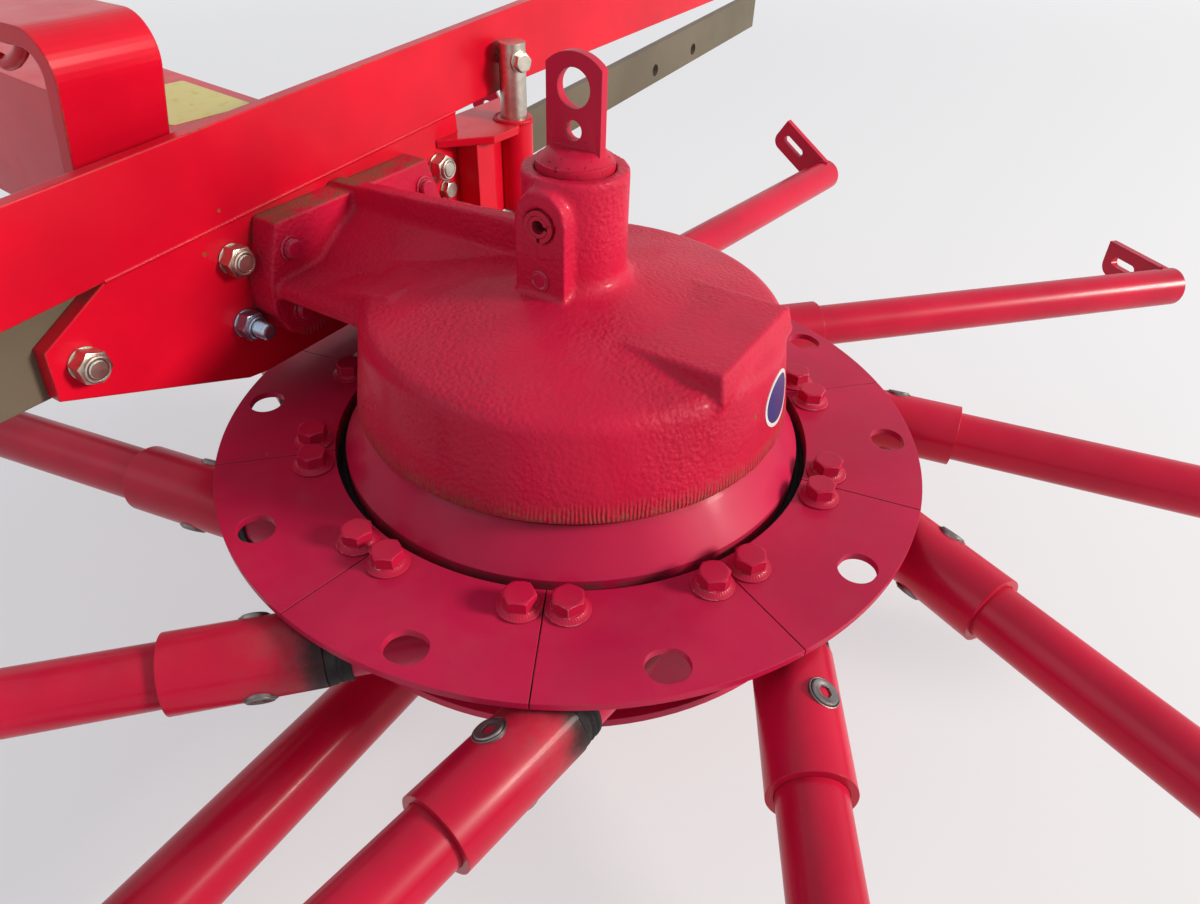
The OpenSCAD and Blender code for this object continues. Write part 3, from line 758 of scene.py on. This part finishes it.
def screwMesh(look):
    # a cup-headed screw with a six-sided socket, in a dark round seat
    rim = look["head"] / 2
    top = look["rise"]
    seat = look["recess"]
    socket = hexRings(look["socket"], 0, top, 1.0)[0]
    profile = (
        (seat - 1.2, -2.5), (seat - 1.0, 0.15), (seat - 1.6, 0.4), (rim + 0.6, 0.0), (rim + 0.2, -0.5),
        (rim, top - 0.7), (rim - 0.7, top), (rim - 3.4, top), (rim - 4.2, top - 0.5),
    )
    walls = [[v + up * (top - depth) for v in socket] for depth in (0.5, look["socketDepth"])]
    return skin("sleeveScrew", [ringOf(radius, z) for radius, z in profile] + walls)


bracketWeld = {"at": 850.5, "radius": 24.6, "half": 75, "steps": 12, "bead": 2.6}
rollOf = {"work": -92, "lift": 68, "middle": 46.2, "full": 18, "none": 90}


def armRoll(index):
    # how far an arm is rolled at rest by the cam under it
    turn = abs((math.degrees(armTurn(index)) - rollOf["middle"] + 540) % 360 - 180)
    t = min(1, max(0, (rollOf["none"] - turn) / (rollOf["none"] - rollOf["full"])))
    return math.radians(rollOf["work"] + rollOf["lift"] * t * t * (3 - 2 * t))


def bracketBead(root, along, out, roll):
    bead = []
    for step in range(-bracketWeld["steps"], bracketWeld["steps"] + 1):
        turn = roll + math.radians(bracketWeld["half"]) * step / bracketWeld["steps"]
        side = up * math.cos(turn) - out * math.sin(turn)
        bead.append(root + along * bracketWeld["at"] + side * bracketWeld["radius"])
    return bead


for index in range(armLayout["count"]):
    body = f"arm_{index + 1}"
    root, along, out = armAxes(index)
    tilt = math.radians(sleeveScrew["turns"][index])
    way = up * math.cos(tilt) + out * math.sin(tilt)
    middle = root + along * sleeveScrew["at"]
    places = [(middle + aim * sleeveScrew["sleeve"], aim) for aim in (way, -way)]
    standing(f"sleeveScrews_{index + 1}", screwMesh(sleeveScrew), places, "darkSteel", body, seed=index)
    seal = lathe("shaftSeal", shaftSeal, 64, True)
    seal.transform(facing(root, along))
    pieceFrom(f"shaftSeal_{index + 1}", seal, "sealRubber", body)
    bead = bracketBead(root, along, out, armRoll(index))
    welded(f"bracketWeld_{index + 1}", bead, bracketWeld["bead"], "tubePaint", body)
print("arms dressed")


def threadRings(radius, low, high, pitch=1.75, depth=0.9):
    count = int((high - low) / (pitch / 2))
    end = low + count * pitch / 2
    rings = [ringOf(radius - depth * (i % 2), low + i * pitch / 2, 32) for i in range(count)]
    return rings + [ringOf(radius - depth, end, 32), ringOf(0.5, end + 0.3, 32)]


def nutMesh(across, height, thread, washer, proud, pitch=2.0):
    # washer, nut with a nylon collar, and the end of the bolt's thread
    disc = lathe("disc", [(washer - 0.4, 0), (washer, 0.4), (washer, 1.6), (washer - 0.5, 2), (0.5, 2)], 48)
    top = 2 + height
    bore = thread + 0.4
    collar = (
        (across * 0.44, top), (across * 0.43, top + 2.6), (across * 0.39, top + 3.4), (bore, top + 3.2), (bore, top),
    )
    nut = skin("nut", hexRings(across, 2, top, 0.97) + [ringOf(radius, z) for radius, z in collar])
    rod = skin("thread", threadRings(thread, top - height, top + proud, pitch, 0.45 * pitch))
    return joined("nut", [disc, nut, rod])


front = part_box("headstock_plate")[0][1] * 1000
toFront = Vector((0, -1, 0))
# places are x and z on the face that they stand on
headstockNut = {"across": 25, "height": 13, "thread": 8, "washer": 13.8, "proud": 4}
headstockNuts = ((-119, 134), (-268, 104), (157, 136))
longStud = {"across": 24, "height": 12, "thread": 7.9, "washer": 13.4, "proud": 19, "pitch": 3.4}
longStuds = ((-121, 71),)
smallBolt = {"disc": ((10.6, -1), (10.6, 1.4), (10.2, 1.8), (0.5, 1.8)), "across": 17, "low": 1.8, "high": 9}
smallBolts = ((169, 107),)
flangeStud = {"base": ((11.5, -1), (11.5, 1.4), (10.8, 2), (9, 2)), "face": 250, "radius": 8.6, "length": 8.5}
flangeStuds = ((-79, 137), (-79, 76), (100, 137), (100, 76))
lugPlug = {
    "face": -50, "height": 164, "profile": ((8.6, -2), (8.6, 1.0), (8.0, 1.6), (6.2, 1.6), (5.8, 1.1), (0.5, 1.1)),
}


def onFace(y, places):
    return [(spot(x, y, z), toFront) for x, z in places]


standing("headstockNuts", nutMesh(**headstockNut), onFace(front, headstockNuts), "zinc")
standing("longStud", nutMesh(**longStud), onFace(front, longStuds), "blueZinc")
stud = joined("stud", [
    lathe("base", flangeStud["base"], 40),
    skin("rod", threadRings(flangeStud["radius"], 0, flangeStud["length"], 3.0, 1.2)),
])
standing("flangeStuds", stud, onFace(flangeStud["face"], flangeStuds), "boltPaint")
bolt = joined("smallBolt", [
    lathe("disc", smallBolt["disc"], 40),
    skin("head", hexRings(smallBolt["across"], smallBolt["low"], smallBolt["high"])),
])
standing("smallBolt", bolt, onFace(front, smallBolts), "zinc")
plug = lathe("plug", lugPlug["profile"], 40)
plugAt = spot(lugPlug["face"], 0, lugPlug["height"])
standing("lugPlug", plug, [(plugAt, Vector((-1, 0, 0)))], "boltPaint")

lockBolt = {
    "centre": (272.2, 258.8), "aim": (-0.35, -0.94, 0), "height": 227, "seat": 14.2, "across": 18, "thread": 6,
    "disc": ((11.6, -1), (11.6, 1.8), (11.2, 2.2), (0.5, 2.2)), "low": 2.2, "high": 10, "threadEnd": 14,
}
lockAim = Vector(lockBolt["aim"]).normalized()
lockAt = spot(*lockBolt["centre"], lockBolt["height"]) + lockAim * lockBolt["seat"]
boltHead = joined("boltHead", [
    lathe("disc", lockBolt["disc"], 40),
    skin("head", hexRings(lockBolt["across"], lockBolt["low"], lockBolt["high"])),
])
standing("lockBolt", boltHead, [(lockAt, lockAim)], "zinc")
boltEnd = joined("boltEnd", [
    skin("nut", hexRings(lockBolt["across"], 0, lockBolt["high"])),
    skin("rod", threadRings(lockBolt["thread"], 2, lockBolt["threadEnd"])),
])
standing("lockBoltEnd", boltEnd, [(lockAt - lockAim * 2 * lockBolt["seat"], -lockAim)], "zinc")
print("headstock dressed")


castForm = {"voxel": 0.0025, "factor": 0.5, "smooth": 3}


def mergedCopy(name):
    # the loose triangles of a CAD node joined into one skin
    mesh = frame["nodes"][name].data.copy()
    net = bmesh.new()
    net.from_mesh(mesh)
    bmesh.ops.remove_doubles(net, verts=net.verts, dist=1e-6)
    net.to_mesh(mesh)
    net.free()
    return mesh


def castHousing():
    # the solid of the housing with its edges and corners rounded as in a sand casting
    host = templateOf(mergedCopy("gear_housing"))
    remesh = host.modifiers.new("voxels", "REMESH")
    remesh.mode = "VOXEL"
    remesh.voxel_size = castForm["voxel"]
    smooth = host.modifiers.new("rounding", "SMOOTH")
    smooth.factor = castForm["factor"]
    smooth.iterations = castForm["smooth"]
    return frozen(host)


housing = pieceFrom("castHousing", castHousing(), "castPaint", "frame", 0)
housing.data.shade_smooth()
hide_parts("gear_housing")
print("housing cast:", len(housing.data.polygons), "faces")


def eyeColumn():
    # the column with its top drawn in to the eye plate, as the fillet between them runs
    mesh = mergedCopy("centre_column")
    half = eyeFoot["plateHalf"]
    for vert in mesh.vertices:
        height = vert.co.z * 1000 - ringTop
        side = abs(vert.co.x) * 1000
        if abs(height - eyeFoot["top"]) < eyeFoot["within"] and side > half + eyeFoot["clear"]:
            vert.co.x *= (half + (side - half) * eyeFoot["press"]) / side
    net = bmesh.new()
    net.from_mesh(mesh)
    bmesh.ops.triangulate(net, faces=net.faces)
    bmesh.ops.recalc_face_normals(net, faces=net.faces)
    net.to_mesh(mesh)
    net.free()
    return mesh


column = pieceFrom("eyeColumn", eyeColumn(), "columnPaint", "frame", 40)
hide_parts("centre_column")

badge = {
    "turn": -84, "height": 84, "half": (28, 22), "rim": 3.2, "lift": 0.5, "sunk": -1.5,
    "faceRings": (0.995, 0.8, 0.6, 0.4, 0.2, 0.02),
    # the housing's round wall, which leans in as it rises
    "wallRadius": 180, "wallHeight": 111, "draft": 10 / 67,
}


def wallSpot(across, rise, lift):
    # a place on the housing's round wall, in millimetres along and up the wall from the badge's middle
    height = badge["height"] + rise
    radius = badge["wallRadius"] + (badge["wallHeight"] - height) * badge["draft"]
    turn = math.radians(badge["turn"]) + across / radius
    return spot((radius + lift) * math.cos(turn), (radius + lift) * math.sin(turn), height)


def ovalRing(half, lift, steps=72):
    turns = [math.tau * i / steps for i in range(steps)]
    return [wallSpot(half[0] * math.cos(turn), half[1] * math.sin(turn), lift) for turn in turns]


inner = tuple(h - badge["rim"] for h in badge["half"])
pieceFrom("badgeRim", skin("badgeRim", [
    ovalRing(badge["half"], badge["sunk"]), ovalRing(badge["half"], badge["lift"]),
    ovalRing(inner, badge["lift"]), ovalRing(inner, badge["sunk"]),
], True), "badgePale", "frame")
pieceFrom("badgeFace", skin("badgeFace", [ovalRing(inner, badge["sunk"])] + [
    ovalRing(tuple(h * share for h in inner), badge["lift"] - 0.1) for share in badge["faceRings"]
]), "badgeBlue", "frame")

label = {"corner": (-4, 454), "width": 82, "length": 116, "skew": 6, "thick": 0.4, "sunk": 0.5, "cut": 0.02}


def labelMesh():
    # a sheet with small cut corners, a little askew on top of the tube
    skew = math.radians(label["skew"])
    across = Vector((-math.cos(skew), math.sin(skew), 0)) * label["width"]
    back = Vector((-math.sin(skew), -math.cos(skew), 0)) * label["length"]
    corner = Vector((*label["corner"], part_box("frame_tube")[1][2] * 1000))
    near, far = label["cut"], 1 - label["cut"]
    shares = ((near, 0), (far, 0), (1, near), (1, far), (far, 1), (near, 1), (0, far), (0, near))
    outline = [corner + across * a + back * b for a, b in shares]
    return skin("tubeLabel", [[point + up * lift for point in outline] for lift in (-label["sunk"], label["thick"])])


pieceFrom("tubeLabel", labelMesh(), "labelYellow", "frame", 0)
print("badge and label placed")


frameWelds = {"bead": 2.2, "seam": (-232, 194), "sunk": 1.0, "beamLow": 172.5, "beamSlope": 3.6}
postWeld = {
    "bead": 2.6, "centre": (272.2, 258.8), "radius": 21.8, "height": 163.4, "turns": (-10, 280), "steps": 40,
}
strapWeld = {"bead": 3.4, "clear": 0.6, "ends": ((329.5, 186), (318.5, 228))}
hoseHook = {
    "bead": 5.5, "ripple": 9, "x": -190,
    "bend": ((350, 317), (356, 311), (366, 302), (378, 295), (390, 291), (398, 293)),
}


def beamLow(x):
    return frameWelds["beamLow"] + x * math.tan(math.radians(frameWelds["beamSlope"]))


def postPath(look):
    start, end = look["turns"]
    turns = [math.radians(start + (end - start) * i / look["steps"]) for i in range(look["steps"] + 1)]
    x, y = look["centre"]
    radius, height = look["radius"], look["height"]
    return [spot(x + radius * math.cos(turn), y + radius * math.sin(turn), height) for turn in turns]


seam = [spot(x, front + frameWelds["sunk"], beamLow(x)) for x in frameWelds["seam"]]
welded("seamWeld", seam, frameWelds["bead"], "framePaint")
welded("postWeld", postPath(postWeld), postWeld["bead"], "framePaint")
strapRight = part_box("strap")[1][0] * 1000 + strapWeld["clear"]
welded("strapWeld", [spot(strapRight, *end) for end in strapWeld["ends"]], strapWeld["bead"], "framePaint")
hook = [spot(hoseHook["x"], *place) for place in hoseHook["bend"]]
welded("hoseHook", hook, hoseHook["bead"], "framePaint", ripple=hoseHook["ripple"], depth=0)
print("welds laid")


stageLook = {
    "floorLow": -1, "floorSize": 80, "floor": (0.78, 0.78, 0.79), "glow": 0.5, "fade": (1.8, 7.0),
    "background": (0.93, 0.93, 0.94), "skyColour": (0.86, 0.90, 1.0), "sky": 0.50, "aim": (0, 0, 0.35),
}
lamps = {
    "key": {"place": (1.9, -5.8, 3.0), "size": 1.6, "power": 480, "tint": (1.0, 0.92, 0.82)},
    "fill": {"place": (-4.8, 3.2, 4.4), "size": 4.0, "power": 44, "tint": (0.88, 0.93, 1.0)},
}
photoView = {
    "sensor": 36, "lens": 25.875, "reach": 200, "place": (-551.6, -352.9, 471.5),
    "right": (0.52257, -0.85217, 0.02683), "down": (-0.51178, -0.33869, -0.78954),
    "forward": (0.68191, 0.39886, -0.61311),
}


def stageFloor():
    # a pale floor that takes the shadow near the part and fades into the background farther out
    mesh = bpy.data.meshes.new("floor")
    half = stageLook["floorSize"] / 2
    low = stageLook["floorLow"] * 0.001
    corners = [(-half, -half, low), (half, -half, low), (half, half, low), (-half, half, low)]
    mesh.from_pydata(corners, [], [(0, 1, 2, 3)])
    floor = bpy.data.objects.new("floor", mesh)
    bpy.context.scene.collection.objects.link(floor)
    f = Finish("floorPale")
    rays = f.node("ShaderNodeLightPath")
    seen = rays.out("Is Camera Ray").most(rays.out("Is Glossy Ray")).most(rays.out("Is Transmission Ray"))
    plain = f.node("ShaderNodeBsdfDiffuse", None, {"Color": stageLook["floor"]})
    glow = f.node("ShaderNodeEmission", None, {"Color": stageLook["background"], "Strength": 1.0})
    x, y = f.part(f.place, "X"), f.part(f.place, "Y")
    away = (x * x + y * y).root().between(*stageLook["fade"])
    share = (away * (1 - stageLook["glow"]) + stageLook["glow"]) * seen
    mesh.materials.append(f.close(f.node("ShaderNodeMixShader", None, {0: share, 1: plain, 2: glow})))


def stageWorld():
    # soft light all round, and a plain pale background for the camera and for reflections
    world = bpy.data.worlds.new("studio")
    bpy.context.scene.world = world
    world.use_nodes = True
    nodes, links = world.node_tree.nodes, world.node_tree.links
    nodes.clear()
    rays = nodes.new("ShaderNodeLightPath")
    seen = rays.outputs["Is Camera Ray"]
    for kind in ("Is Glossy Ray", "Is Transmission Ray"):
        either = nodes.new("ShaderNodeMath")
        either.operation = "MAXIMUM"
        links.new(seen, either.inputs[0])
        links.new(rays.outputs[kind], either.inputs[1])
        seen = either.outputs[0]
    mix = nodes.new("ShaderNodeMixShader")
    links.new(seen, mix.inputs[0])
    for index, (colour, strength) in enumerate((
        (stageLook["skyColour"], stageLook["sky"]), (stageLook["background"], 1.0),
    )):
        light = nodes.new("ShaderNodeBackground")
        light.inputs["Color"].default_value = (*colour, 1)
        light.inputs["Strength"].default_value = strength
        links.new(light.outputs[0], mix.inputs[index + 1])
    end = nodes.new("ShaderNodeOutputWorld")
    links.new(mix.outputs[0], end.inputs[0])


def stageLamps():
    for name, look in lamps.items():
        lamp = bpy.data.lights.new(name, "AREA")
        lamp.shape = "DISK"
        lamp.size = look["size"]
        lamp.energy = look["power"]
        lamp.color = look["tint"]
        holder = bpy.data.objects.new(name, lamp)
        holder.location = look["place"]
        way = Vector(stageLook["aim"]) - Vector(look["place"])
        holder.rotation_euler = way.to_track_quat("-Z", "Y").to_euler()
        bpy.context.scene.collection.objects.link(holder)


def photoCamera():
    lens = bpy.data.cameras.new("photoView")
    lens.sensor_fit = "HORIZONTAL"
    lens.sensor_width = photoView["sensor"]
    lens.lens = photoView["lens"]
    lens.clip_end = photoView["reach"]
    camera = bpy.data.objects.new("photoView", lens)
    right, down, forward = (Vector(photoView[way]) for way in ("right", "down", "forward"))
    turn = Matrix((right, -down, -forward)).transposed().to_4x4()
    camera.matrix_world = Matrix.Translation(spot(*photoView["place"]) * 0.001) @ turn
    bpy.context.scene.collection.objects.link(camera)
    bpy.context.scene.camera = camera


stageFloor()
stageWorld()
stageLamps()
photoCamera()
bpy.context.scene.view_settings.view_transform = "Standard"
print("stage set")
